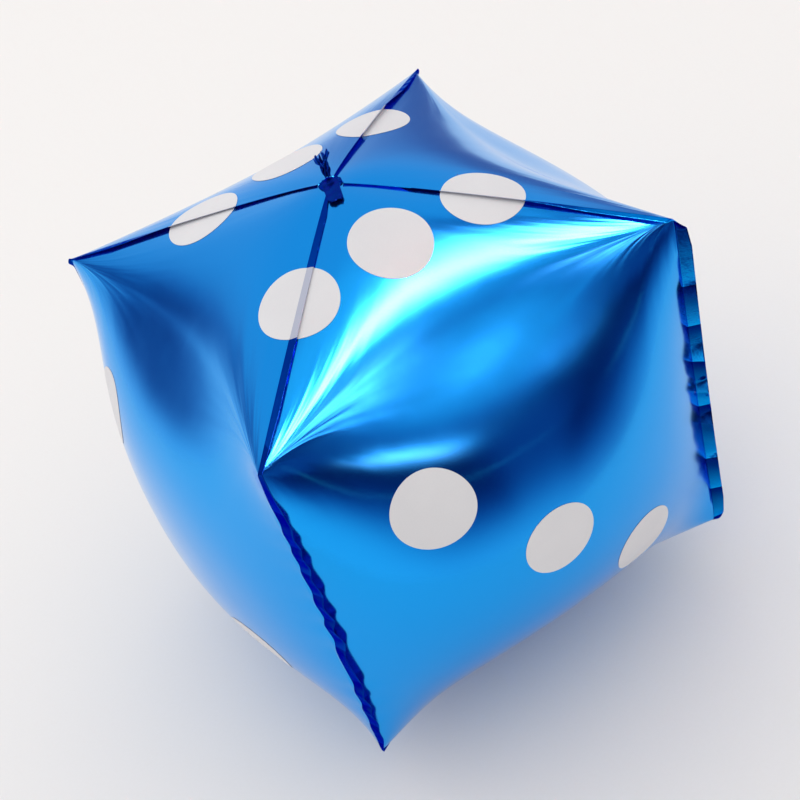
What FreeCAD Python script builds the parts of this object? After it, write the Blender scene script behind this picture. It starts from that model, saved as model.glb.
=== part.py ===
"""Inflatable foil die: four film panels welded edge to edge round a vertical axis, blown up into a cube.

Each panel is one sheet: a quarter of the top face, a whole side face and a quarter of the bottom face.
The welds run up the four vertical edges and cross the top and bottom faces from corner to corner, so the
other eight edges of the cube are only rounded bends in the film. The row frame has its origin on the floor
under the centre, +Z up, and the front face looks along -Y. Lengths are in millimetres.
"""

import FreeCAD, Part
import math
import os

from FreeCAD import Placement, Rotation, Vector

doc = FreeCAD.newDocument("foil_die")

# ---------------------------------------------------------------- driving dimensions
SIZES = (
    ("corner_half_span", 200.0, "from the axis to a corner, along X or Y"),
    ("corner_half_height", 186.0, "from the middle height to a corner"),
    ("side_bulge", 61.0, "a side face stands this far out past its corners"),
    ("cap_bulge", 61.0, "the top and bottom faces stand this far past the corners"),
    ("fold_pull", 34.0, "the middle of a bent edge is drawn in this far from its corners"),
    ("fold_round", 43.0, "handle length of the bend in the middle of a bent edge"),
    ("crown_reach", 50.0, "handle length of the cap's profile at the axis"),
    ("side_reach", 145.0, "handle length of the side's profile at the middle height"),
    ("side_flatness", 0.3, "share of the side's bulge that is held back towards its corners"),
    ("corner_round", 2.0, "handle length of the bend at a corner"),
    ("seam_valley", 7.0, "the cap's welds lie this much lower than the film between them"),
    ("base_flat", 3.0, "the standing film flattens by this much under its weight"),
    ("film", 0.6, "film thickness"),
    ("tip_half", 8.0, "half width of the small flat where the four tips meet"),
    ("seam_margin", 10.0, "width of the welded margin"),
    ("seam_lead", 34.0, "length over which the margin turns from folded to standing"),
    ("fold_gap", 0.5, "air between a folded margin and the film under it"),
    ("print_gap", 0.15, "air between the film and the ink layer"),
    ("ink", 0.15, "thickness of the ink layer"),
    ("pip_diameter", 70.0, "diameter of a pip"),
    ("pip_offset", 92.0, "from a face's centre lines to its outer pips"),
    ("throat_radius", 5.0, "hole at the top tip that the valve passes through"),
    ("weld_radius", 11.0, "outer radius of the disc weld that closes the four tips"),
    ("weld_thick", 1.2, "thickness of that disc weld"),
    ("neck_length", 35.0, "length of the filling neck"),
    ("neck_width", 14.0, "width of the filling neck"),
    ("neck_slit", 0.6, "height of the slit between the neck's two plies"),
    ("neck_weld", 2.0, "width of the welded rim on each side of the neck"),
    ("neck_turn", 250.0, "direction in which the neck lies, degrees from +X"),
    ("gather_height", 21.0, "height of the gathered film that stands behind the neck"),
    ("gather_root", 8.0, "width of the gathered film at its root"),
    ("gather_lean", 25.0, "how far it leans away from the neck, degrees"),
    ("valve_length", 90.0, "length of the valve inside the die"),
    ("valve_width", 16.0, "width of the valve"),
    ("valve_stem", 7.0, "width of the valve where it passes the throat"),
    ("valve_film", 0.3, "thickness of one valve ply"),
    ("clearance", 0.3, "air between pieces that only lie together"),
)

sheet = doc.addObject("Spreadsheet::Sheet", "sizes")
for row, (alias, value, note) in enumerate(SIZES, 1):
    sheet.set(f"A{row}", note)
    sheet.set(f"B{row}", str(value))
    sheet.setAlias(f"B{row}", alias)
doc.recompute()


def size(alias):
    """The sheet's value of one driving dimension."""
    return float(getattr(sheet, alias))


WEDGE_TURNS = {"front": 225.0, "right": 315.0, "back": 45.0, "left": 135.0}
SEAMS = {
    "seam_front_left": "front",
    "seam_front_right": "right",
    "seam_back_right": "back",
    "seam_back_left": "left",
}
BASE_LEVEL = size("fold_gap") + 2 * size("film")  # underside of the film above the floor
CENTRE_LEVEL = BASE_LEVEL - size("base_flat") + size("corner_half_height") + size("cap_bulge")
TOP_LEVEL = CENTRE_LEVEL + size("corner_half_height") + size("cap_bulge")
ACROSS = 6  # handles across a panel, which its fifth degree needs
REACH = 2 * (size("corner_half_span") + size("side_bulge"))  # past every surface
UP = Vector(0, 0, 1)


def turned(degrees, z=0.0):
    """A placement that turns about the vertical axis and lifts by z."""
    return Placement(Vector(0, 0, z), Rotation(UP, degrees))


# ---------------------------------------------------------------- the inflated surface
def profile(lateral, inset):
    """The handles of the cap's and the side's curves on the ray at one share, -1 to 1, across the panel.

    Handles are (out, up) pairs, out being measured square to the panel's face. The profile is level at the
    axis, rounded at the bent edge and upright at the middle height. Its bend shrinks towards the corners,
    where the film comes to a point. inset moves it inwards.
    """
    middle = 1 - lateral**2
    span = size("corner_half_span") - inset
    height = size("corner_half_height") - inset
    crown = height + size("cap_bulge")
    edge = (span - size("fold_pull") * middle, height)
    bulge = middle * (1 - size("side_flatness") * (1 - middle))
    girth = span + size("side_bulge") * bulge
    bend = size("corner_round") + size("fold_round") * middle
    cap = (
        (size("tip_half"), crown),
        (size("crown_reach"), crown - size("seam_valley") * lateral**2),
        (edge[0] - bend, edge[1] + bend),
        edge,
    )
    side = (edge, (edge[0] + bend, edge[1] - bend), (girth, size("side_reach")), (girth, 0.0))
    return cap, side


def bezier(points):
    """The Bezier curve through points at equal steps of its parameter."""
    curve = Part.BezierCurve()
    curve.interpolate([[p] for p in points], [i / (len(points) - 1) for i in range(len(points))])
    return curve.getPoles()


def handle_rows(inset, part, flip):
    """The cap's (part 0) or the side's (part 1) rows of handles across the panel from azimuth 0 to 90."""
    rows = []
    for index in range(4):
        points = []
        for step in range(ACROSS):
            lateral = 2.0 * step / (ACROSS - 1) - 1
            out, up = profile(lateral, inset)[part][index]
            east = out * (1 - lateral) / math.sqrt(2)
            north = out * (1 + lateral) / math.sqrt(2)
            points.append(Vector(east, north, flip * up))
        rows.append(bezier(points))
    return rows


def patch(rows):
    """The smooth face of four rows of handles."""
    surface = Part.BezierSurface()
    surface.increase(ACROSS - 1, 3)
    for along, row in enumerate(rows, 1):
        for across, handle in enumerate(row, 1):
            surface.setPole(across, along, handle)
    return surface.toShape()


def line(handles):
    """The edge of one column of handles."""
    curve = Part.BezierCurve()
    curve.setPoles(handles)
    return curve.toShape()


def wedge(inset):
    """The closed body between one panel's surface and the vertical axis, with its middle at height 0."""
    patches = [handle_rows(inset, part, flip) for part in (0, 1) for flip in (1, -1)]
    faces = [patch(rows) for rows in patches]
    crown = Vector(0, 0, patches[0][0][0].z)
    tips = [patches[flip][0] for flip in (0, 1)]
    for tip, pole in zip(tips, (crown, -crown)):
        faces.append(Part.Face(Part.makePolygon([pole, tip[0], tip[-1], pole])))
    for end in (0, -1):
        edges = [line([row[end] for row in rows]) for rows in patches]
        edges.append(Part.makeLine(crown, tips[0][end]))
        edges.append(Part.makeLine(crown, -crown))
        edges.append(Part.makeLine(-crown, tips[1][end]))
        faces.append(Part.Face(Part.Wire(Part.__sortEdges__(edges))))
    shell = Part.Shell(faces)
    shell.sewShape()
    body = Part.Solid(shell)
    if body.Volume < 0:
        body.reverse()
    return body


def standing_wedge(inset):
    """That body lifted to its place above the floor and flattened underneath."""
    body = wedge(inset)
    body.translate(UP * CENTRE_LEVEL)
    level = BASE_LEVEL + inset
    above = Part.makeBox(REACH, REACH, REACH, Vector(0, 0, level))
    return body.common(above).Solids[0]


LAYERS = {
    "film_out": 0.0,
    "film_in": size("film"),
    "ink_out": -size("print_gap") - size("ink"),
    "ink_in": -size("print_gap"),
    "fold_out": -BASE_LEVEL,
    "fold_in": -size("fold_gap"),
}
layer_bodies = {name: standing_wedge(inset) for name, inset in LAYERS.items()}


def layer(name, side):
    """One offset body of the film, turned to its side of the die, as a document object."""
    made = doc.addObject("Part::Feature", f"{name}_{side}")
    made.Shape = layer_bodies[name]
    made.Placement = turned(WEDGE_TURNS[side])
    return made


def boolean(kind, name, base, tool):
    """A Part::Cut or Part::Common of two document objects."""
    made = doc.addObject(kind, name)
    made.Base = base
    made.Tool = tool
    return made


def solid_of(kind, name, placement=None, **sizes):
    """A Part primitive whose properties are bound to the sheet by expressions."""
    made = doc.addObject(kind, name)
    for prop, rule in sizes.items():
        made.setExpression(prop, rule)
    if placement:
        made.Placement = placement
    return made


parts = {}

# ---------------------------------------------------------------- the four panels
throat = solid_of(
    "Part::Cylinder",
    "throat_hole",
    Placement(Vector(0, 0, CENTRE_LEVEL), Rotation()),
    Radius="sizes.throat_radius",
    Height="2 * (sizes.corner_half_height + sizes.cap_bulge)",
)
for side in WEDGE_TURNS:
    shell = boolean("Part::Cut", f"shell_{side}", layer("film_out", side), layer("film_in", side))
    parts[f"panel_{side}"] = boolean("Part::Cut", f"panel_{side}", shell, throat)

# ---------------------------------------------------------------- the printed pips
ink_layers = []
for side in WEDGE_TURNS:
    ink_layers.append(
        boolean("Part::Cut", f"ink_{side}", layer("ink_out", side), layer("ink_in", side))
    )
ink = doc.addObject("Part::Compound", "ink_all_round")
ink.Links = ink_layers

ROWS = {"left": -1, "middle": 0, "right": 1}
LINES = {"upper": 1, "centre": 0, "lower": -1}
FACES = {  # which way each face's pips look, and which way its rows and lines run
    "front": (Vector(0, -1, 0), Vector(1, 0, 0), UP),
    "right": (Vector(1, 0, 0), Vector(0, 1, 0), UP),
    "back": (Vector(0, 1, 0), Vector(-1, 0, 0), UP),
    "left": (Vector(-1, 0, 0), Vector(0, -1, 0), UP),
    "top": (UP, Vector(1, 0, 0), Vector(0, 1, 0)),
    "bottom": (-UP, Vector(1, 0, 0), Vector(0, -1, 0)),
}
CORNERS = ("upper_left", "upper_right", "lower_left", "lower_right")
PIPS = {
    "one": ("bottom", ("centre_middle",)),
    "two": ("left", ("upper_left", "lower_right")),
    "three": ("front", ("upper_left", "centre_middle", "lower_right")),
    "four": ("back", CORNERS),
    "five": ("right", CORNERS + ("centre_middle",)),
    "six": ("top", CORNERS + ("upper_middle", "lower_middle")),
}
for count, (face, spots) in PIPS.items():
    normal, across, along = FACES[face]
    for spot in spots:
        line, column = spot.split("_")
        name = f"pip_{count}_{spot}"
        shift = (across * ROWS[column] + along * LINES[line]) * size("pip_offset")
        start = Vector(0, 0, CENTRE_LEVEL) + shift
        cutter = solid_of(
            "Part::Cylinder",
            f"outline_{count}_{spot}",
            Placement(start, Rotation(UP, normal)),
            Radius="sizes.pip_diameter / 2",
            Height="2 * sizes.corner_half_span",
        )
        parts[name] = boolean("Part::Common", name, ink, cutter)

# ---------------------------------------------------------------- the four welded seams
def seam_outline():
    """The standing margin's outline in the plane of the seam, as (out from the axis, up) points.

    It reaches into the die, and what lies inside the film is cut away afterwards.
    """
    corner_out = size("corner_half_span") * math.sqrt(2)
    corner_up = size("corner_half_height")
    margin = size("seam_margin")
    lead = size("seam_lead")
    crown_out = size("crown_reach") * math.sqrt(2)
    rise = (size("cap_bulge") - size("seam_valley")) / (corner_out - crown_out)
    start_up = corner_up + lead * rise + size("fold_gap") + 2 * size("film")
    upper = [
        (corner_out - lead, start_up),
        (corner_out + margin / 2, corner_up + margin),
        (corner_out + margin, corner_up + margin / 2),
    ]
    return upper + [(out, -up) for out, up in reversed(upper)]


def standing_margin(name, side):
    """The strip that stands out of a vertical edge: a sketch in the seam's plane, padded both ways."""
    body = doc.addObject("PartDesign::Body", f"{name}_strip")
    plane = next(p for p in body.Origin.OriginFeatures if p.Role == "XZ_Plane")
    sketch = body.newObject("Sketcher::SketchObject", f"{name}_outline")
    sketch.AttachmentSupport = (plane, [""])
    sketch.MapMode = "FlatFace"
    corners = [Vector(out, up, 0) for out, up in seam_outline()]
    for here, there in zip(corners, corners[1:] + corners[:1]):
        sketch.addGeometry(Part.LineSegment(here, there), False)
    pad = body.newObject("PartDesign::Pad", f"{name}_pad")
    pad.Profile = sketch
    pad.setExpression("Length", "2 * sizes.film")
    pad.Midplane = True
    body.Placement = turned(WEDGE_TURNS[side], CENTRE_LEVEL)
    order = list(WEDGE_TURNS)
    clockwise = order[order.index(side) - 1]
    outside = boolean("Part::Cut", f"{name}_outside", body, layer("fold_in", side))
    return boolean("Part::Cut", f"{name}_margin", outside, layer("fold_in", clockwise))


def folded_zone(name, turn, raised):
    """A box over the half of a seam's folded margin that lies on the top or on the bottom face."""
    start = size("weld_radius") + size("clearance")
    floor = CENTRE_LEVEL + size("corner_half_height") if raised else -size("clearance")
    spot = turned(turn).multiply(Placement(Vector(start, 0, floor), Rotation()))
    return solid_of(
        "Part::Box",
        name,
        spot,
        Length="sizes.corner_half_span * sqrt(2) - sizes.weld_radius",
        Width="sizes.seam_margin",
        Height="sizes.cap_bulge + sizes.seam_margin",
    )


for name, side in SEAMS.items():
    turn = WEDGE_TURNS[side]
    fold = boolean("Part::Cut", f"fold_{side}", layer("fold_out", side), layer("fold_in", side))
    seam = doc.addObject("Part::MultiFuse", name)
    seam.Shapes = [
        standing_margin(name, side),
        boolean("Part::Common", f"{name}_upper", fold, folded_zone(f"{name}_top_zone", turn, True)),
        boolean("Part::Common", f"{name}_lower", fold, folded_zone(f"{name}_base_zone", turn, False)),
    ]
    parts[name] = seam


# ---------------------------------------------------------------- tips, neck and valve
def body_of(name, plane_role, loops, length, placement):
    """A PartDesign body: one sketch of closed loops or circles on an origin plane, padded by length."""
    body = doc.addObject("PartDesign::Body", name)
    plane = next(p for p in body.Origin.OriginFeatures if p.Role == plane_role)
    sketch = body.newObject("Sketcher::SketchObject", f"{name}_sketch")
    sketch.AttachmentSupport = (plane, [""])
    sketch.MapMode = "FlatFace"
    for loop in loops:
        if isinstance(loop, float):
            sketch.addGeometry(Part.Circle(Vector(0, 0, 0), UP, loop), False)
            continue
        points = [Vector(x, y, 0) for x, y in loop]
        for here, there in zip(points, points[1:] + points[:1]):
            sketch.addGeometry(Part.LineSegment(here, there), False)
    pad = body.newObject("PartDesign::Pad", f"{name}_pad")
    pad.Profile = sketch
    pad.setExpression("Length", length)
    body.Placement = placement
    return body


def rectangle(low_x, low_y, high_x, high_y):
    """The four corners of an upright rectangle."""
    return [(low_x, low_y), (high_x, low_y), (high_x, high_y), (low_x, high_y)]


weld_level = TOP_LEVEL + size("clearance")
parts["tip_weld_top"] = body_of(
    "tip_weld_top",
    "XY_Plane",
    (size("weld_radius"), size("throat_radius")),
    "sizes.weld_thick",
    Placement(Vector(0, 0, weld_level), Rotation()),
)
inner_floor = BASE_LEVEL + size("film") + size("clearance")
parts["tip_weld_bottom"] = body_of(
    "tip_weld_bottom",
    "XY_Plane",
    (size("weld_radius"),),
    "sizes.weld_thick",
    Placement(Vector(0, 0, inner_floor), Rotation()),
)

neck_level = weld_level + size("weld_thick") + size("clearance")
neck_half = size("neck_width") / 2
neck_root = -size("throat_radius")
neck_end = neck_root + size("neck_length")
neck_frame = turned(size("neck_turn"), neck_level)
bore_half = neck_half - size("neck_weld")
step_up = size("film") + size("neck_slit")
# The lower ply is a shallow channel, seen along the neck, whose rims carry the upper ply.
channel = [
    (-neck_half, 0.0),
    (neck_half, 0.0),
    (neck_half, step_up),
    (bore_half, step_up),
    (bore_half, size("film")),
    (-bore_half, size("film")),
    (-bore_half, step_up),
    (-neck_half, step_up),
]
along_neck = Placement(Vector(neck_root, 0, 0), Rotation(Vector(0, 1, 0), UP, Vector(1, 0, 0), "ZXY"))
parts["neck_lower_ply"] = body_of(
    "neck_lower_ply", "XY_Plane", (channel,), "sizes.neck_length", neck_frame.multiply(along_neck)
)
parts["neck_upper_ply"] = body_of(
    "neck_upper_ply",
    "XY_Plane",
    (rectangle(neck_root, -neck_half, neck_end, neck_half),),
    "sizes.film",
    neck_frame.multiply(Placement(Vector(0, 0, step_up), Rotation())),
)

gather_high = size("gather_height")
root_half = size("gather_root") / 2
ragged_end = [
    (-root_half, 0.0),
    (root_half, 0.0),
    (root_half * 1.2, gather_high * 0.8),
    (root_half * 0.6, gather_high * 0.7),
    (0.0, gather_high * 0.95),
    (-root_half * 0.7, gather_high * 0.75),
    (-root_half * 2.2, gather_high),
    (-root_half * 1.1, gather_high * 0.4),
]
swing_room = step_up + size("film") + 2 * size("clearance")
gather_spot = Placement(Vector(neck_root - swing_room - 2 * size("film"), 0, 0), Rotation(UP, 90))
leaning = Placement(Vector(), Rotation(Vector(1, 0, 0), -size("gather_lean")))
parts["tip_gather"] = body_of(
    "tip_gather",
    "XZ_Plane",
    (ragged_end,),
    "2 * sizes.film",
    neck_frame.multiply(gather_spot).multiply(leaning),
)

stem_half = size("valve_stem") / 2
valve_half = size("valve_width") / 2
stem_top = size("film") + size("clearance") + size("weld_thick")
shoulder = -size("clearance")
valve_outline = [
    (-stem_half, stem_top),
    (-stem_half, shoulder),
    (-valve_half, shoulder - size("valve_stem")),
    (-valve_half, -size("valve_length")),
    (valve_half, -size("valve_length")),
    (valve_half, shoulder - size("valve_stem")),
    (stem_half, shoulder),
    (stem_half, stem_top),
]
for name, shift in (
    ("valve_front_ply", size("clearance") / 2 + size("valve_film")),
    ("valve_back_ply", -size("clearance") / 2),
):
    spot = Placement(Vector(0, 0, TOP_LEVEL - size("film")), Rotation(UP, size("neck_turn") + 90))
    side_step = Placement(Vector(0, -shift + size("valve_film"), 0), Rotation())
    parts[name] = body_of(
        name, "XZ_Plane", (valve_outline,), "sizes.valve_film", spot.multiply(side_step)
    )

# ---------------------------------------------------------------- check and write
doc.recompute()
for made in doc.Objects:
    if {"Invalid", "Error"} & set(made.State):
        raise RuntimeError(f"{made.Name} failed: {made.State}")

os.makedirs("parts", exist_ok=True)
for name, made in parts.items():
    made.Label = name
    shape = made.Shape
    if shape.isNull() or not shape.Solids or not shape.isValid():
        raise RuntimeError(f"{name} has no valid solid")
    if any(piece.Volume <= 0 for piece in shape.Solids):
        raise RuntimeError(f"{name} is inside out")
    shape.exportStep(f"parts/{name}.step")
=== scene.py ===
"""Looks of an inflated foil die: metallised film, crimped welds, printed pips, neck and valve."""

import math

import bpy
import numpy as np
from mathutils import Matrix, Vector


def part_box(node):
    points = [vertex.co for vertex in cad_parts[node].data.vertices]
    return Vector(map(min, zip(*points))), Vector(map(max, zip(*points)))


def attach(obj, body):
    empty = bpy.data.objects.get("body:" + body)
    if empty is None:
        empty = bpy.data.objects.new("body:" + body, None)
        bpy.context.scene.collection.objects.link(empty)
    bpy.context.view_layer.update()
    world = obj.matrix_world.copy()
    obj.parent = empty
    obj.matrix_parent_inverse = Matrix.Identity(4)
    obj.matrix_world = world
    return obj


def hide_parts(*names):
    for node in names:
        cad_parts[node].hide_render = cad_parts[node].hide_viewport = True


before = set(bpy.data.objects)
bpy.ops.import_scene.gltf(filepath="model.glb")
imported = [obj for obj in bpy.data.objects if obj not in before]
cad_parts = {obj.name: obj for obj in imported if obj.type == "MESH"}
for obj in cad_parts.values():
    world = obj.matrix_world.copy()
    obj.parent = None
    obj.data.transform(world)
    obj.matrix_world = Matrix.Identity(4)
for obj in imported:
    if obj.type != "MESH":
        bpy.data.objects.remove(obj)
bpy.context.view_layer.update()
scene = bpy.context.scene

# ==== The four film panels ====
# Each is one sheet of metallised film, cut square in the middle with a right-angled point at each end,
# so that it covers a side face and a quarter of the top and bottom faces. The sheets are welded edge to
# edge, and the air inside bulges every face and rounds the film where it bends between two welds.

HALF_SPAN = 0.200  # axis to a corner, along X or Y
HALF_HEIGHT = 0.186  # middle to a corner, along Z
SIDE_BULGE = 0.061  # the middle of a side face stands this far beyond its corners
CAP_BULGE = 0.061  # the same for the top and the bottom
FOLD_PULL = 0.034  # the middle of a bent edge is drawn in from its corners
FOLD_ROUND = 0.043  # the bend's handles at its middle, on top of those at its corners
CORNER_ROUND = 0.002
CROWN_REACH = 0.050  # distance from the axis of the cap's first handle
SIDE_REACH = 0.145  # height of the side's last handle above the middle
SIDE_FLATNESS = 0.3  # share by which the side's bulge falls short of a parabola near its welds
VALLEY = 0.007  # welds on the cap lie lower than the film between them
TIP = 0.008  # small flat where the four tips meet
FILM = 0.0006  # thickness
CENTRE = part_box("panel_front")[1].z - HALF_HEIGHT - CAP_BULGE
FLOOR_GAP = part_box("panel_front")[0].z


def bezier(handles, step):
    """Cubic curve: each handle weighted by its Bernstein polynomial of the step from 0 to 1."""
    rest = 1 - step
    weights = (rest**3, 3 * rest**2 * step, 3 * rest * step**2, step**3)
    return sum(w[..., None] * h for w, h in zip(weights, handles))


def profile(lateral, run):
    """(out, up) of the blown-up film on the ray at one share across the panel, -1 to 1.

    run goes 0 to 1 from the axis over the cap to the bent edge, and 1 to 2 down the side to the middle
    height. Both stretches are cubic curves; the bend's handles shrink to nothing at the corners.
    """
    middle = 1 - lateral**2
    crown = HALF_HEIGHT + CAP_BULGE
    flat = np.zeros_like(middle)
    edge_out, edge_up = HALF_SPAN - FOLD_PULL * middle, HALF_HEIGHT + flat
    bulge = middle * (1 - SIDE_FLATNESS * (1 - middle))
    girth = HALF_SPAN + SIDE_BULGE * bulge
    bend = CORNER_ROUND + FOLD_ROUND * middle

    def pair(out, up):
        return np.stack([out + flat, up + flat], -1)

    edge = pair(edge_out, edge_up)
    cap = (
        pair(TIP, crown),
        pair(CROWN_REACH, crown - VALLEY * lateral**2),
        pair(edge_out - bend, edge_up + bend),
        edge,
    )
    side = (
        edge,
        pair(edge_out + bend, edge_up - bend),
        pair(girth, SIDE_REACH),
        pair(girth, 0.0),
    )
    over_cap, down_side = bezier(cap, np.clip(run, 0, 1)), bezier(side, np.clip(run - 1, 0, 1))
    return np.where((run <= 1)[..., None], over_cap, down_side)


def film(lateral, run):
    """Points of the panel that faces +X: the profile swept across, its lower half mirrored.

    run goes 0 to 4 from the upper tip to the lower one.
    """
    upper = run <= 2
    spot = profile(lateral, np.where(upper, run, 4 - run))
    out, up = spot[..., 0], np.where(upper, spot[..., 1], -spot[..., 1])
    return np.stack([out, lateral * out, np.maximum(up + CENTRE, FLOOR_GAP)], -1)


SIDES = {"front": 270, "right": 360, "back": 90, "left": 180}  # turns about the axis, in degrees from +X
SEAM_TURNS = {"front_left": 225, "front_right": 315, "back_right": 45, "back_left": 135}
EDGES = {  # the welds at each panel's two edges
    "front": ("front_left", "front_right"),
    "right": ("front_right", "back_right"),
    "back": ("back_right", "back_left"),
    "left": ("back_left", "front_left"),
}
RIPPLES = {  # waves up each standing weld, how far they sway its root, and how sharply each one breaks
    "front_left": (10.5, 0.0012, 0.3),
    "front_right": (7.0, 0.0012, 0.8),
    "back_right": (9.5, 0.0014, 0.5),
    "back_left": (10.0, 0.0014, 0.4),
}
SWAY_REACH = 0.014  # distance from a weld within which the panel sways with it
DIMPLE = 0.0013  # depth of the dimples beside a weld
DIMPLE_START, DIMPLE_REACH = 0.004, 0.011  # they grow over the first distance and fade over the second


def ripple(seam, up):
    """The sway of a standing weld at a height from the middle: uneven sine waves that lean over."""
    count, _, break_over = RIPPLES[seam]
    share = np.clip(up / HALF_HEIGHT, -1, 1)
    uneven = 0.06 * np.sin(5.1 * share + count) + 0.03 * np.sin(11 * share)
    phase = math.pi * count * (share + uneven)
    phase = phase + break_over * np.sin(phase)
    return np.sin(phase) * (1 - share**8) * (0.8 + 0.3 * np.sin(4.3 * share + 2 * count))


def puckered(points, lateral, side):
    """The panel's edges sway with their welds and dimple beside them, dying out a finger's width in."""
    out = points[..., 0]
    up = points[..., 2] - CENTRE
    standing = np.clip(1.25 - np.abs(up / HALF_HEIGHT) ** 6, 0, 1) * (np.abs(up) < HALF_HEIGHT)
    moved = points.copy()
    for sign, seam in zip((-1, 1), EDGES[side]):
        away = np.abs(lateral - sign) * out
        wave = ripple(seam, up) * standing
        sway = RIPPLES[seam][1] * wave * np.exp(-((away / SWAY_REACH) ** 2))
        moved += sway[..., None] * np.array([-sign, 1, 0]) / math.sqrt(2)
        fade = np.exp(-away / DIMPLE_REACH) * np.clip(away / DIMPLE_START, 0, 1)
        moved[..., 0] += DIMPLE * sign * wave * fade
    return moved


def turned(points, degrees):
    """Points turned about the vertical axis."""
    c, s = math.cos(math.radians(degrees)), math.sin(math.radians(degrees))
    return points @ np.array([[c, s, 0], [-s, c, 0], [0, 0, 1]])


def surface(name, points, uv=None, wrap=False):
    """A mesh object of quads over a grid of points; wrap joins the last row to the first."""
    rows, columns = points.shape[:2]
    index = np.arange(rows * columns).reshape(rows, columns)
    if wrap:
        index = np.vstack([index, index[:1]])
    quads = np.stack([index[:-1, :-1], index[:-1, 1:], index[1:, 1:], index[1:, :-1]], -1)
    quads = quads.reshape(-1, 4)
    mesh = bpy.data.meshes.new(name)
    mesh.vertices.add(rows * columns)
    mesh.vertices.foreach_set("co", points.reshape(-1).astype(np.float32))
    mesh.loops.add(quads.size)
    mesh.loops.foreach_set("vertex_index", quads.reshape(-1).astype(np.int32))
    mesh.polygons.add(len(quads))
    mesh.polygons.foreach_set("loop_start", np.arange(0, quads.size, 4, dtype=np.int32))
    if uv is not None:
        layer = mesh.uv_layers.new(name="across_along")
        at_loops = uv.reshape(-1, 2)[quads.reshape(-1)]
        layer.data.foreach_set("uv", at_loops.reshape(-1).astype(np.float32))
    mesh.update()
    mesh.validate()
    mesh.polygons.foreach_set("use_smooth", np.ones(len(mesh.polygons), bool))
    made = bpy.data.objects.new(name, mesh)
    scene.collection.objects.link(made)
    return made


def thicken(piece, thickness, offset=-1):
    """Gives a sheet its thickness: inwards from its face, or to both sides where the offset is 0."""
    rim = piece.modifiers.new("thickness", "SOLIDIFY")
    rim.thickness = thickness
    rim.offset = offset


def material(name):
    """A new material and its Principled node."""
    made = bpy.data.materials.new(name)
    made.use_nodes = True
    tree = made.node_tree
    return made, tree, tree.nodes["Principled BSDF"]


def node(tree, kind, *inputs, **settings):
    """A shader node: its first inputs linked or set in order, its properties set by name."""
    made = tree.nodes.new("ShaderNode" + kind)
    for name, value in settings.items():
        setattr(made, name, value)
    for socket, value in zip(made.inputs, inputs):
        if isinstance(value, bpy.types.NodeSocket):
            tree.links.new(value, socket)
        elif value is not None:
            socket.default_value = value
    return made


def maths(tree, operation, *inputs):
    """The value of a Math node."""
    return node(tree, "Math", *inputs, operation=operation).outputs[0]


def noise(tree, scale, detail=2.0, place=None):
    """The value of a 3-D noise at a place, or else at the piece's own coordinates."""
    if place is None:
        place = node(tree, "TexCoord").outputs["Object"]
    made = node(tree, "TexNoise", place, noise_dimensions="3D")
    made.inputs["Scale"].default_value = scale
    made.inputs["Detail"].default_value = detail
    return made.outputs[0]


def bumped(tree, shader, height, strength=1.0, distance=1.0):
    """Tilts a shader's normal by a height, and gives back that normal."""
    bump = node(tree, "Bump", strength, distance)
    tree.links.new(height, bump.inputs["Height"])
    tree.links.new(bump.outputs[0], shader.inputs["Normal"])
    return bump.outputs[0]


def group(name, ends):
    """A node group and its output node, with one output for each (name, kind) of ends."""
    tree = bpy.data.node_groups.new(name, "ShaderNodeTree")
    for label, kind in ends:
        tree.interface.new_socket(label, in_out="OUTPUT", socket_type=kind)
    return tree, tree.nodes.new("NodeGroupOutput")


def use(tree, shared):
    """A node that brings a shared group into a material."""
    return node(tree, "Group", node_tree=shared)


# Taut film still shows slack: broad soft waves, finer ones, and creases that fan out of each corner.
OVER_CURVE = (0.42, 0.9)  # width and length of a panel measured over the blown-up film
BROAD_WAVES, FINE_WAVES = 0.0010, 0.00003  # their heights
CREASE_SLOPE, CREASE_FADE = 0.024, -14.0  # height and exponent of fading, per metre from a corner
FILM_HAZE = 0.14  # roughness of the film, before the fine waves add to it

slack, end = group("slack_film", [("Height", "NodeSocketFloat"), ("Haze", "NodeSocketFloat")])
broad = noise(slack, 9.0, 1.0)
fine = noise(slack, 46.0)
sheet_spot = node(slack, "SeparateXYZ", node(slack, "UVMap", uv_map="across_along").outputs[0])
across = maths(slack, "PINGPONG", sheet_spot.outputs[0], 0.5)
across = maths(slack, "MULTIPLY", across, OVER_CURVE[0])
along = maths(slack, "SUBTRACT", maths(slack, "PINGPONG", sheet_spot.outputs[1], 0.5), 0.25)
along = maths(slack, "MULTIPLY", along, OVER_CURVE[1])
bearing = maths(slack, "ARCTAN2", along, across)
squares = [maths(slack, "POWER", maths(slack, "ABSOLUTE", value), 2.0) for value in (across, along)]
reach = maths(slack, "SQRT", maths(slack, "ADD", *squares))
round_corner = maths(slack, "MULTIPLY", bearing, 1.5)
outwards = maths(slack, "MULTIPLY", reach, 3.0)
spread = node(slack, "CombineXYZ", round_corner, outwards, sheet_spot.outputs[0])
fan = maths(slack, "MULTIPLY", noise(slack, 2.6, 1.5, spread.outputs[0]), reach)
fade = maths(slack, "EXPONENT", maths(slack, "MULTIPLY", reach, CREASE_FADE))
crease = maths(slack, "MULTIPLY", fan, maths(slack, "MULTIPLY", fade, CREASE_SLOPE))
height = maths(slack, "MULTIPLY_ADD", broad, BROAD_WAVES, crease)
height = maths(slack, "MULTIPLY_ADD", fine, FINE_WAVES, height)
slack.links.new(height, end.inputs["Height"])
slack.links.new(maths(slack, "MULTIPLY_ADD", fine, 0.05, FILM_HAZE), end.inputs["Haze"])

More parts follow.
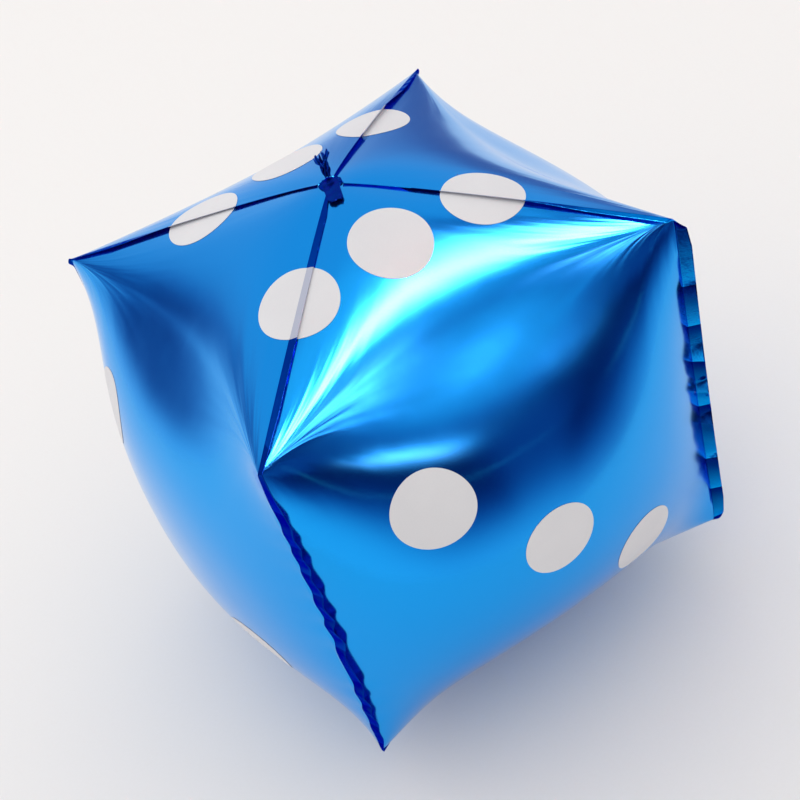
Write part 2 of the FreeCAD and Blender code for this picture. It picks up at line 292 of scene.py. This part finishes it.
foil, tree, shader = material("metallised_blue_film")
shader.inputs["Base Color"].default_value = (0.005, 0.37, 0.95, 1)
shader.inputs["Metallic"].default_value = 1.0
shader.inputs["Coat Weight"].default_value = 0.14
shader.inputs["Coat Roughness"].default_value = 0.08
slack_node = use(tree, slack)
tree.links.new(slack_node.outputs["Haze"], shader.inputs["Roughness"])
tree.links.new(bumped(tree, shader, slack_node.outputs["Height"]), shader.inputs["Coat Normal"])

ACROSS, ALONG = 160, 60  # quads across a panel, and along each of its four stretches
lateral = np.sin(np.linspace(-math.pi / 2, math.pi / 2, ACROSS + 1))
run = np.linspace(0, 4, 4 * ALONG + 1)
S, V = np.meshgrid(lateral, run, indexing="ij")
for side, turn in SIDES.items():
    points = turned(puckered(film(S, V), S, side), turn)
    panel = surface(f"film_{side}", points, np.stack([S / 2 + 0.5, V / 4], -1))
    thicken(panel, FILM)
    panel.data.materials.append(foil)
    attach(panel, "balloon")
    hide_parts(f"panel_{side}")

# ==== The four welded seams ====
# The panels' margins are sealed to each other in a strip about a centimetre wide. On the top and bottom
# it lies folded over; up each vertical edge it stands out, and the puffed film gathers it into ripples.

MARGIN = 0.0095  # width
MARGIN_PLIES = 0.0005  # thickness
SWAYS = {  # how far the ripples sway each weld's free edge, beyond its root
    "front_left": 0.0011,
    "front_right": 0.0024,
    "back_right": 0.002,
    "back_left": 0.002,
}
CAP_WIDTHS = {  # share of its width that each weld shows where it lies folded on the top
    "front_left": 0.7,
    "front_right": 0.35,
    "back_right": 0.45,
    "back_left": 0.35,
}
CORNER_WIDTHS = {  # share of its width that each weld keeps at its upper and its lower corner
    "front_left": (0.5, 0.2),
    "front_right": (0.85, 0.95),
    "back_right": (0.4, 0.5),
    "back_left": (0.3, 0.5),
}
LEANS = {  # degrees from standing: near the top tip, before the corner, up the edge, underneath
    "front_left": (78, 74, 64, 70),
    "front_right": (-54, -82, 12, 70),
    "back_right": (-38, -78, 30, 70),
    "back_left": (58, 76, -60, 70),
}
LEAN_STARTS, LEAN_ENDS = 0.55, 0.75  # the first lean changes between these shares of the way out
TURN_BEFORE, TURN_AFTER = 0.004, 0.012  # the strip stands up between these distances from a corner
EASE = 0.03  # the ripples grow over this distance from a corner
LEAST_RISE = 0.0003  # the strip is kept this far above the floor
WELD_START = 0.002  # run at which a weld leaves the tips' disc
TURN_PACE = 0.012  # a radian of turn is given as many steps as this distance of straight weld


def weld_line(steps):
    """A weld in its own plane: the profile at a panel's edge, as points, normals and distances along it.

    The points are even in distance with a share of the turning added, so they lie closer where it turns.
    """
    fine = np.concatenate([np.linspace(WELD_START, 1, 1500), np.linspace(1.0005, 2, 1500)])
    spot = profile(np.ones_like(fine), fine)
    spot[:, 0] *= math.sqrt(2)
    spot = np.concatenate([spot, spot[-2::-1] * [1, -1]])
    spot[:, 1] = np.maximum(spot[:, 1] + CENTRE, FLOOR_GAP) - CENTRE
    step = np.diff(spot, axis=0)
    length = np.linalg.norm(step, axis=1)
    heading = np.unwrap(np.arctan2(step[:, 1], step[:, 0]))
    pace = np.concatenate([[0], np.cumsum(length + TURN_PACE * np.abs(np.gradient(heading)))])
    travelled = np.concatenate([[0], np.cumsum(length)])
    even = np.linspace(0, pace[-1], steps)
    place = np.stack([np.interp(even, pace, spot[:, i]) for i in (0, 1)], -1)
    turn = np.interp(even, (pace[1:] + pace[:-1]) / 2, heading)
    along = np.interp(even, pace, travelled)
    return place, np.stack([-np.sin(turn), np.cos(turn)], -1), along


def seam_strip(seam, steps=900, across=10):
    """A strip carried along the weld: points, and (share across, distance along) for each.

    It leans by an angle that changes along it. Its ripples grow with the power 1.3 of the share across.
    """
    place, normal, along = weld_line(steps)
    total = along[-1]
    corner = along[np.argmax(place[:, 0] + place[:, 1])]
    near, far, edge, below = (math.radians(lean) for lean in LEANS[seam])
    knots = [0, corner * LEAN_STARTS, corner * LEAN_ENDS, corner - TURN_BEFORE, corner + TURN_AFTER]
    knots += [total - corner - TURN_AFTER, total - corner + TURN_AFTER, total]
    leans = [near, near, far, far, edge, edge, below, below]
    lean = np.interp(along, knots, leans)
    edge_ends = [corner, corner + EASE, total - corner - EASE, total - corner]
    wave = (ripple(seam, place[:, 1]) * np.interp(along, edge_ends, [0, 1, 1, 0]))[:, None]
    share = np.linspace(0, 1, across)
    root_sway = RIPPLES[seam][1] * wave
    free_sway = SWAYS[seam] * wave * share**1.3
    upper, lower = CORNER_WIDTHS[seam]
    widths = (  # distance along the weld, and the share of the margin's width that it keeps there
        (0, 0.3),
        (0.03, CAP_WIDTHS[seam]),
        (corner - 0.05, 0.8),
        (corner, upper),
        (corner + 0.03, 1.25),
        (total - corner - 0.03, 1.2),
        (total - corner, lower),
        (total - corner + 0.05, 0.9),
        (total - 0.03, 0.9),
        (total, 0.4),
    )
    reach = MARGIN * np.interp(along, *zip(*widths))[:, None] * share
    sine, cosine = np.sin(lean)[:, None], np.cos(lean)[:, None]
    out = cosine * reach - sine * free_sway
    side = sine * reach + cosine * free_sway + root_sway
    radial = place[:, :1] + normal[:, :1] * out
    height = place[:, 1:] + normal[:, 1:] * out
    points = np.stack([radial, side, height + CENTRE], -1)
    points[..., 2] = np.maximum(points[..., 2], LEAST_RISE)
    uv = np.stack(np.broadcast_arrays(share, along[:, None]), -1)
    return turned(points, SEAM_TURNS[seam]), uv


# Along each margin: the sealing bar's fine teeth, a crumple, and ink where a printed pip crosses it.
TEETH = 2600.0  # radians of the teeth's wave per metre
TOOTH_HEIGHT, CRUMPLE_HEIGHT = 0.000006, 0.0009
PIP_RADIUS = 0.035
PIP_AWAY = 0.092  # distance of the top's corner pips from the axis, along X and along Y

crimp, end = group("sealed_margin", [("Height", "NodeSocketFloat"), ("Ink", "NodeSocketFloat")])
strip_spot = node(crimp, "SeparateXYZ", node(crimp, "UVMap", uv_map="across_along").outputs[0])
teeth = maths(crimp, "SINE", maths(crimp, "MULTIPLY", strip_spot.outputs[1], TEETH))
crumple = maths(crimp, "MULTIPLY", noise(crimp, 120.0), CRUMPLE_HEIGHT)
crimp.links.new(maths(crimp, "MULTIPLY_ADD", teeth, TOOTH_HEIGHT, crumple), end.inputs["Height"])
spot = node(crimp, "SeparateXYZ", node(crimp, "TexCoord").outputs["Object"])
aways = [maths(crimp, "ABSOLUTE", spot.outputs[axis]) for axis in (0, 1)]
offsets = [maths(crimp, "SUBTRACT", away, PIP_AWAY) for away in aways]
squares = [maths(crimp, "MULTIPLY", offset, offset) for offset in offsets]
inside = maths(crimp, "LESS_THAN", maths(crimp, "ADD", *squares), PIP_RADIUS**2)
on_top = maths(crimp, "GREATER_THAN", spot.outputs[2], CENTRE + HALF_HEIGHT)
crimp.links.new(maths(crimp, "MULTIPLY", inside, on_top), end.inputs["Ink"])

INKED_WELD = (0.42, 0.43, 0.5, 1)
BLUE_SHEEN = (0.05, 0.3, 0.9, 1)  # what sealed film mirrors at a glancing angle


def painted_light_weld_material(name, painted_shade_blue, painted_reflection_blue, pitch):
    """Sealed film with painted shade and a painted reflection of its ripples: downwards it pales over each
    pitch from the shade blue to the reflection blue, and then darkens at once.
    """
    made, tree, shader = material(name)
    crimp_node = use(tree, crimp)
    spot = node(tree, "SeparateXYZ", node(tree, "TexCoord").outputs["Object"])
    slow_wave = maths(tree, "SINE", maths(tree, "MULTIPLY", spot.outputs[2], 31.0))
    wander = maths(tree, "MULTIPLY", slow_wave, 0.22)
    step = maths(tree, "FRACT", maths(tree, "MULTIPLY_ADD", spot.outputs[2], -1 / pitch, wander))
    # Painted light: the mix runs from painted shade to a painted reflection along each ripple's pitch.
    blue = node(tree, "MixRGB", maths(tree, "POWER", step, 1.6), painted_shade_blue, painted_reflection_blue)
    printed = crimp_node.outputs["Ink"]
    tint = node(tree, "MixRGB", printed, blue.outputs[0], INKED_WELD)
    tree.links.new(tint.outputs[0], shader.inputs["Base Color"])
    tree.links.new(maths(tree, "SUBTRACT", 1.0, printed), shader.inputs["Metallic"])
    tree.links.new(maths(tree, "MULTIPLY_ADD", printed, 0.2, 0.2), shader.inputs["Roughness"])
    shader.inputs["Specular Tint"].default_value = BLUE_SHEEN
    bumped(tree, shader, crimp_node.outputs["Height"])
    return made


# Both pairs of blues are painted shade and painted reflection. They are darker than the panels' film,
# standing in for the dark that the welds mirror, and they pale along each ripple where a reflection is
# painted.
FLAT_WELD_PAINTED_SHADES = (0.001, 0.03, 0.27, 1), (0.002, 0.07, 0.42, 1)
PUFFED_WELD_PAINTED_LIGHT_AND_SHADE = (0.001, 0.015, 0.18, 1), (0.006, 0.36, 0.92, 1)
weld_foil_painted_shade = painted_light_weld_material("crimped_weld_painted_shade", *FLAT_WELD_PAINTED_SHADES, 0.036)
puffed_foil_painted_ripple_light = painted_light_weld_material("puffed_weld_painted_ripple_light", *PUFFED_WELD_PAINTED_LIGHT_AND_SHADE, 0.053)

for seam in SEAM_TURNS:
    points, uv = seam_strip(seam)
    strip = surface(f"weld_{seam}", points, uv)
    thicken(strip, MARGIN_PLIES, offset=0)
    strip.data.materials.append(puffed_foil_painted_ripple_light if seam == "front_right" else weld_foil_painted_shade)
    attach(strip, "balloon")
    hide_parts(f"seam_{seam}")

# ==== The printed pips ====
# Round spots of opaque pale grey ink, printed on the film before it is welded, so a weld can cross one.
# The ink is laid in a screen of fine dots and is cloudy, a little thinner in places.

THIN_INK, FULL_INK = (0.62, 0.61, 0.63, 1), (0.72, 0.71, 0.72, 1)

ink, tree, shader = material("printed_pip_ink")
dots = noise(tree, 900.0)
cloud = maths(tree, "MULTIPLY", noise(tree, 24.0), 0.6)
tint = node(tree, "MixRGB", maths(tree, "MULTIPLY_ADD", dots, 0.4, cloud), THIN_INK, FULL_INK)
tree.links.new(tint.outputs[0], shader.inputs["Base Color"])
shader.inputs["Roughness"].default_value = 0.42
shader.inputs["Specular IOR Level"].default_value = 0.06
for name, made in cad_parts.items():
    if name.startswith("pip_"):
        made.data.materials.clear()
        made.data.materials.append(ink)

# ==== The tips: disc welds, neck, gathered film and valve ====
# The four panels' points are fused in a small disc, above and below. Out of the upper one comes the
# flat filling neck, two plies sealed along their sides, with a valve of two clear plies inside. Behind
# it stands the crumpled end of the film, which was gathered when it was cut.

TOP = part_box("tip_weld_top")[0].z
NECK_WAY = 250  # direction in which the neck lies, degrees from +X
DISC = (0.0105, 0.0005, 0.0008)  # radius, radius of the hole, and height of its middle
DISC_LIFT = 0.0002
DISC_FILM, NECK_FILM, TUFT_FILM = 0.0004, 0.0002, 0.0003


def sealed_disc(radius, hole, rise):
    """Rings round the axis: the height falls with the cube of the share out, with twelve puckers on it."""
    share, turn = np.meshgrid(np.linspace(0, 1, 16), np.linspace(0, 2 * math.pi, 145)[:-1])
    out = hole + (radius - hole) * share
    out = out * (1 + 0.03 * share * np.sin(5 * turn + 1))
    up = rise * (1 - share**3) + 0.00035 * share * np.sin(12 * turn + 2 * np.sin(3 * turn))
    return np.stack([out * np.cos(turn), out * np.sin(turn), up], -1)


disc = surface("sealed_tips", sealed_disc(*DISC) + [0, 0, TOP + DISC_LIFT], wrap=True)
thicken(disc, DISC_FILM)
disc.data.materials.append(weld_foil_painted_shade)
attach(disc, "balloon")
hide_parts("tip_weld_top")

NECK_ROOT = -0.003  # along the neck's way, from the axis
NECK_LENGTH = 0.033
NECK_HALF = 0.007
NECK_CURL = 0.0009  # drop of its end, growing with the square of the distance
NECK_WRINKLE = 0.00018
PLIES = (("neck_lower_ply", 0.0018, -0.0001), ("neck_upper_ply", 0.0025, 0.0007))  # name, level, puff


def neck_ply(level, puff):
    """A strip along the neck, narrower at its root and rounded at its end.

    Its sealed sides lie flat and its middle is puffed by a sine along the neck. Its drop is the square of
    the share along.
    """
    side, along = np.meshgrid(np.linspace(-1, 1, 41), np.linspace(0, 1, 60), indexing="ij")
    rounding = 1 - 0.25 * np.clip(along - 0.9, 0, 1) * 10 * side**4
    half = NECK_HALF * np.minimum(1, 0.72 + 2.4 * along) * rounding
    length = NECK_LENGTH - 0.0012 * side**2 - 0.0006 * np.sin(6 * side)
    swell = np.clip(1 - side**2 * 1.45, 0, 1) ** 1.5
    bubble = puff * swell * np.sin(math.pi * np.clip(along * 1.1, 0, 1))
    wrinkle = NECK_WRINKLE * np.sin(19 * along + 3 * side) * (1 - side**2)
    drop = -NECK_CURL * along**2
    return np.stack([NECK_ROOT + along * length, side * half, level + bubble + wrinkle + drop], -1)


NECK_BLUES = (0.001, 0.02, 0.22, 1), (0.003, 0.05, 0.40, 1)

neck_film, tree, shader = material("neck_film")
grain = noise(tree, 160.0)
tint = node(tree, "MixRGB", grain, *NECK_BLUES)
tree.links.new(tint.outputs[0], shader.inputs["Base Color"])
shader.inputs["Metallic"].default_value = 0.9
shader.inputs["Roughness"].default_value = 0.22
shader.inputs["Specular Tint"].default_value = BLUE_SHEEN
shader.inputs["Alpha"].default_value = 0.82
bumped(tree, shader, grain, strength=0.6, distance=0.0006)

for name, level, puff in PLIES:
    ply_points = turned(neck_ply(level, puff) + [0, 0, TOP], NECK_WAY)
    piece = surface("film_" + name, ply_points[::-1])
    thicken(piece, NECK_FILM)
    piece.data.materials.append(neck_film)
    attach(piece, "neck")
    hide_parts(name)

TUFT_ROOT = (-0.0098, 0.0015)  # along the neck's way from the axis, and above the disc's foot
TUFT_HEIGHT = 0.021
TUFT_HALF, TUFT_SPREAD = 0.0034, 0.0035  # half width at its root, and what it gains at its free edge
TUFT_FOLD, TUFT_CRUMPLE = 0.0013, 0.0006
TUFT_LEAN = 0.43  # away from the neck, for each unit of height


def gathered_tuft():
    """A bunch of film: sine folds that fan out upwards with a finer crumple on them.

    It leans back in proportion to its height, and its free edge is cut in points by the size of a sine.
    """
    side, up = np.meshgrid(np.linspace(-1, 1, 160), np.linspace(0, 1, 50), indexing="ij")
    jag = 0.72 + 0.2 * np.abs(np.sin(4.2 * side + 0.6)) + 0.08 * np.sin(17 * side)
    rise = TUFT_HEIGHT * up * jag
    half = TUFT_HALF * (1 - 0.25 * np.sin(math.pi * up)) + TUFT_SPREAD * up**1.6
    fold = TUFT_FOLD * np.sin(13 * side + 2 * up) * (0.5 + 0.6 * up)
    fold = fold + TUFT_CRUMPLE * np.sin(31 * side - 9 * up)
    lean = TUFT_LEAN * rise + 0.0022 * up**2 * np.sin(2.3 * side)
    across = side * half + 0.0008 * np.sin(9 * up + 5 * side)
    return np.stack([TUFT_ROOT[0] - lean + fold, across, rise + TUFT_ROOT[1]], -1)


tuft = surface("gathered_film", turned(gathered_tuft() + [0, 0, TOP], NECK_WAY))
thicken(tuft, TUFT_FILM)
tuft.data.materials.append(weld_foil_painted_shade)
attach(tuft, "balloon")
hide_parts("tip_gather")

VALVE_GREYS = (0.7, 0.74, 0.8, 1), (0.85, 0.88, 0.92, 1)

clear, tree, shader = material("valve_film")
tint = node(tree, "MixRGB", noise(tree, 70.0), *VALVE_GREYS)
tree.links.new(tint.outputs[0], shader.inputs["Base Color"])
shader.inputs["Roughness"].default_value = 0.15
shader.inputs["Alpha"].default_value = 0.5
kinds = {"valve_front_ply": clear, "valve_back_ply": clear, "tip_weld_bottom": weld_foil_painted_shade}
for name, kind in kinds.items():
    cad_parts[name].data.materials.clear()
    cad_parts[name].data.materials.append(kind)

# ==== Floor, light and camera ====
# The studio is a pale room with a dark end in front and a long soft lamp overhead on its right. What the
# film mirrors is one function of direction, carried by a dome and by a dark cloth on the floor that are
# seen in it alone. A plain white sky and one lamp behind light the floor and the print.

BASE = (  # height in degrees above the floor, and level of the wall, floor or ceiling there
    (-90, 0.95),
    (-42, 0.95),
    (0, 0.9),
    (12, 0.85),
    (32, 0.74),
    (56, 0.74),
    (68, 0.75),
    (75, 0.95),
    (90, 0.9),
)
DARK = (  # azimuth (0 in front, 90 on the right), height, half widths, share taken away, sharpness
    (16, 6, 44, 38, 0.92, 4),
    (-139, 19, 18, 11, 0.75, 2),
    (110, 62, 20, 5, 0.7, 2),
    (140, 4, 20, 15, 0.62, 2),
)
STRIPE = (19, 2, 10, 32, 0.16, 4)  # a paler strip of wall in the dark end, with the level that it adds
LAMPS = (  # the same for the lamps: a long box overhead, and three small ones lower down in front
    (57, 67.5, 28, 5.0, 20.0, 2),
    (6, 30, 3, 9, 5.0, 2),
    (9, 41, 3, 6, 1.0, 2),
    (41, 37, 5, 10, 7.0, 2),
)


def patch(tree, azimuth, height, spot):
    """How far a direction lies in a soft oval: the exponential of minus a power of its distances."""
    middle_azimuth, middle_height, half_across, half_up, _, sharpness = spot
    across = maths(tree, "MULTIPLY", maths(tree, "SUBTRACT", azimuth, middle_azimuth), 1 / half_across)
    up = maths(tree, "MULTIPLY", maths(tree, "SUBTRACT", height, middle_height), 1 / half_up)
    sizes = [maths(tree, "ABSOLUTE", value) for value in (across, up)]
    powers = [maths(tree, "POWER", size, float(sharpness)) for size in sizes]
    return maths(tree, "EXPONENT", maths(tree, "MULTIPLY", maths(tree, "ADD", *powers), -1.0))


def ramp(tree, value, stops):
    """The colour at a value, between stops of (value, colour)."""
    made = node(tree, "ValToRGB", value)
    elements = made.color_ramp.elements
    while len(elements) < len(stops):
        elements.new(0.5)
    for element, (place, colour) in zip(elements, stops):
        element.position = place
        element.color = (*colour, 1)
    return made.outputs[0]


room, end = group("studio_room", [("Color", "NodeSocketColor")])
room.interface.new_socket("Direction", in_out="INPUT", socket_type="NodeSocketVector")
start = room.nodes.new("NodeGroupInput")
unit = node(room, "VectorMath", start.outputs[0], operation="NORMALIZE")
unit = node(room, "SeparateXYZ", unit.outputs[0])
forward = maths(room, "MULTIPLY", unit.outputs[1], -1.0)
azimuth = maths(room, "DEGREES", maths(room, "ARCTAN2", unit.outputs[0], forward))
height = maths(room, "DEGREES", maths(room, "ARCSINE", unit.outputs[2]))
greys = [(degrees / 180 + 0.5, (grey, grey, grey)) for degrees, grey in BASE]
level = ramp(room, maths(room, "MULTIPLY_ADD", height, 1 / 180, 0.5), greys)
for spot in DARK:
    kept = maths(room, "MULTIPLY_ADD", patch(room, azimuth, height, spot), -spot[4], 1.0)
    level = maths(room, "MULTIPLY", level, kept)
level = maths(room, "MULTIPLY_ADD", patch(room, azimuth, height, STRIPE), STRIPE[4], level)
lamps = 0.0
for spot in LAMPS:
    lamps = maths(room, "MULTIPLY_ADD", patch(room, azimuth, height, spot), spot[4], lamps)

TONES = (  # dim parts of the room are violet, as its dark cloth is
    (0.0, (0.3, 0.1, 1.0)),
    (0.3, (0.5, 0.5, 1.0)),
    (0.62, (0.8, 0.8, 1.0)),
    (0.95, (1.0, 1.0, 1.0)),
)
LAMP_COLOUR = (4.0, 1.0, 1.0)  # red enough for the blue film to mirror it pale
lit = node(room, "VectorMath", ramp(room, level, TONES), operation="SCALE")
room.links.new(level, lit.inputs["Scale"])
warm = node(room, "VectorMath", LAMP_COLOUR, operation="SCALE")
room.links.new(lamps, warm.inputs["Scale"])
seen = node(room, "VectorMath", lit.outputs[0], warm.outputs[0], operation="ADD")
room.links.new(seen.outputs[0], end.inputs["Color"])

SKY_SLOPE, SKY_LEVEL = 0.24, 1.09  # the sky is a little brighter behind than in front

studio = bpy.data.worlds.new("studio")
scene.world = studio
studio.use_nodes = True
tree = studio.node_tree
from_behind = node(tree, "SeparateXYZ", node(tree, "TexCoord").outputs["Generated"]).outputs[1]
sky = tree.nodes["Background"]
tree.links.new(maths(tree, "MULTIPLY_ADD", from_behind, SKY_SLOPE, SKY_LEVEL), sky.inputs["Strength"])
sky.inputs["Color"].default_value = (1, 1, 1, 1)


def direction(azimuth, height):
    """Unit vector: the sines and cosines of an azimuth (0 in front, 90 right) and a height, in degrees."""
    a, e = math.radians(azimuth), math.radians(height)
    return Vector((math.sin(a) * math.cos(e), -math.cos(a) * math.cos(e), math.sin(e)))


def lamp(name, azimuth, height, distance, size, radiance):
    """A soft lamp facing the die: it lights the floor and the print but isn't mirrored in the film."""
    data = bpy.data.lights.new(name, "AREA")
    data.shape = "RECTANGLE"
    data.size, data.size_y = size
    data.energy = radiance * math.pi * size[0] * size[1]
    made = bpy.data.objects.new(name, data)
    scene.collection.objects.link(made)
    made.location = direction(azimuth, height) * distance + Vector((0, 0, CENTRE))
    made.rotation_euler = direction(azimuth, height).to_track_quat("Z", "Y").to_euler()
    made.visible_glossy = False


lamp("fill_behind", azimuth=-150, height=60, distance=3.0, size=(3.0, 3.0), radiance=0.2)


def rectangle(low, high, level):
    """A level rectangle between two corners, as a grid that faces up."""
    x, y = np.meshgrid((high[0], low[0]), (low[1], high[1]), indexing="ij")
    return np.stack([x, y, np.full(x.shape, level)], -1)


FLOOR_HALF = 8.0
FLOOR_PAINTS = (0.80, 0.78, 0.765, 1), (0.82, 0.80, 0.785, 1)

floor = surface("floor", rectangle((-FLOOR_HALF, -FLOOR_HALF), (FLOOR_HALF, FLOOR_HALF), 0.0))
paint, tree, shader = material("pale_floor")
tint = node(tree, "MixRGB", noise(tree, 300.0), *FLOOR_PAINTS)
tree.links.new(tint.outputs[0], shader.inputs["Base Color"])
shader.inputs["Roughness"].default_value = 0.9
shader.inputs["Specular IOR Level"].default_value = 0.1
floor.data.materials.append(paint)


def mirrored_only(name, points, middle):
    """A glowing surface that only the film mirrors: the room's level in each direction from a point."""
    made = surface(name, points)
    paint, tree, shader = material(name)
    place = node(tree, "TexCoord").outputs["Object"]
    toward = node(tree, "VectorMath", place, middle, operation="SUBTRACT")
    round_about = use(tree, room)
    tree.links.new(toward.outputs[0], round_about.inputs["Direction"])
    tree.links.new(round_about.outputs["Color"], shader.inputs["Emission Color"])
    shader.inputs["Emission Strength"].default_value = 1.0
    shader.inputs["Base Color"].default_value = (0, 0, 0, 1)
    shader.inputs["Specular IOR Level"].default_value = 0.0
    made.data.materials.append(paint)
    made.visible_camera = made.visible_diffuse = made.visible_shadow = False


CLOTH = ((-3, -4.5), (3, -0.52), 0.001)  # two corners and its height above the floor
CLOTH_MIDDLE = (0, -0.24, 0.25)  # directions to it are taken from here, just behind the front panel
DOME_RADIUS, DOME_FOOT = 5.0, 0.002
DOME_MIDDLE = (0, 0, 0.25)


def dome():
    """Half a sphere: a full turn about the axis, and a quarter turn from the floor almost to the top."""
    around, above = np.linspace(0, 2 * math.pi, 97), np.linspace(0, math.pi / 2 - 0.001, 25)
    around, above = np.meshgrid(around, above, indexing="ij")
    unit = [np.cos(around) * np.cos(above), np.sin(around) * np.cos(above), np.sin(above)]
    return DOME_RADIUS * np.stack(unit, -1) + [0, 0, DOME_FOOT]


mirrored_only("dark_cloth", rectangle(*CLOTH), CLOTH_MIDDLE)
mirrored_only("room", dome(), DOME_MIDDLE)

LENS, SENSOR = 61.3, 36
CAMERA_SPOT = (-1.7278, -4.7453, 4.3077)  # in half spans from the middle of the die
RIGHT, DOWN, AHEAD = (0.8211, -0.5176, -0.2407), (-0.5095, -0.4743, -0.718), (0.2574, 0.7122, -0.6531)

camera_data = bpy.data.cameras.new("camera")
camera = bpy.data.objects.new("camera", camera_data)
scene.collection.objects.link(camera)
scene.camera = camera
camera_data.sensor_width = SENSOR
camera_data.lens = LENS
turn = Matrix((Vector(RIGHT), -Vector(DOWN), -Vector(AHEAD))).transposed().to_4x4()
spot = Vector(CAMERA_SPOT) * HALF_SPAN + Vector((0, 0, CENTRE))
camera.matrix_world = Matrix.Translation(spot) @ turn

scene.view_settings.view_transform = "Standard"
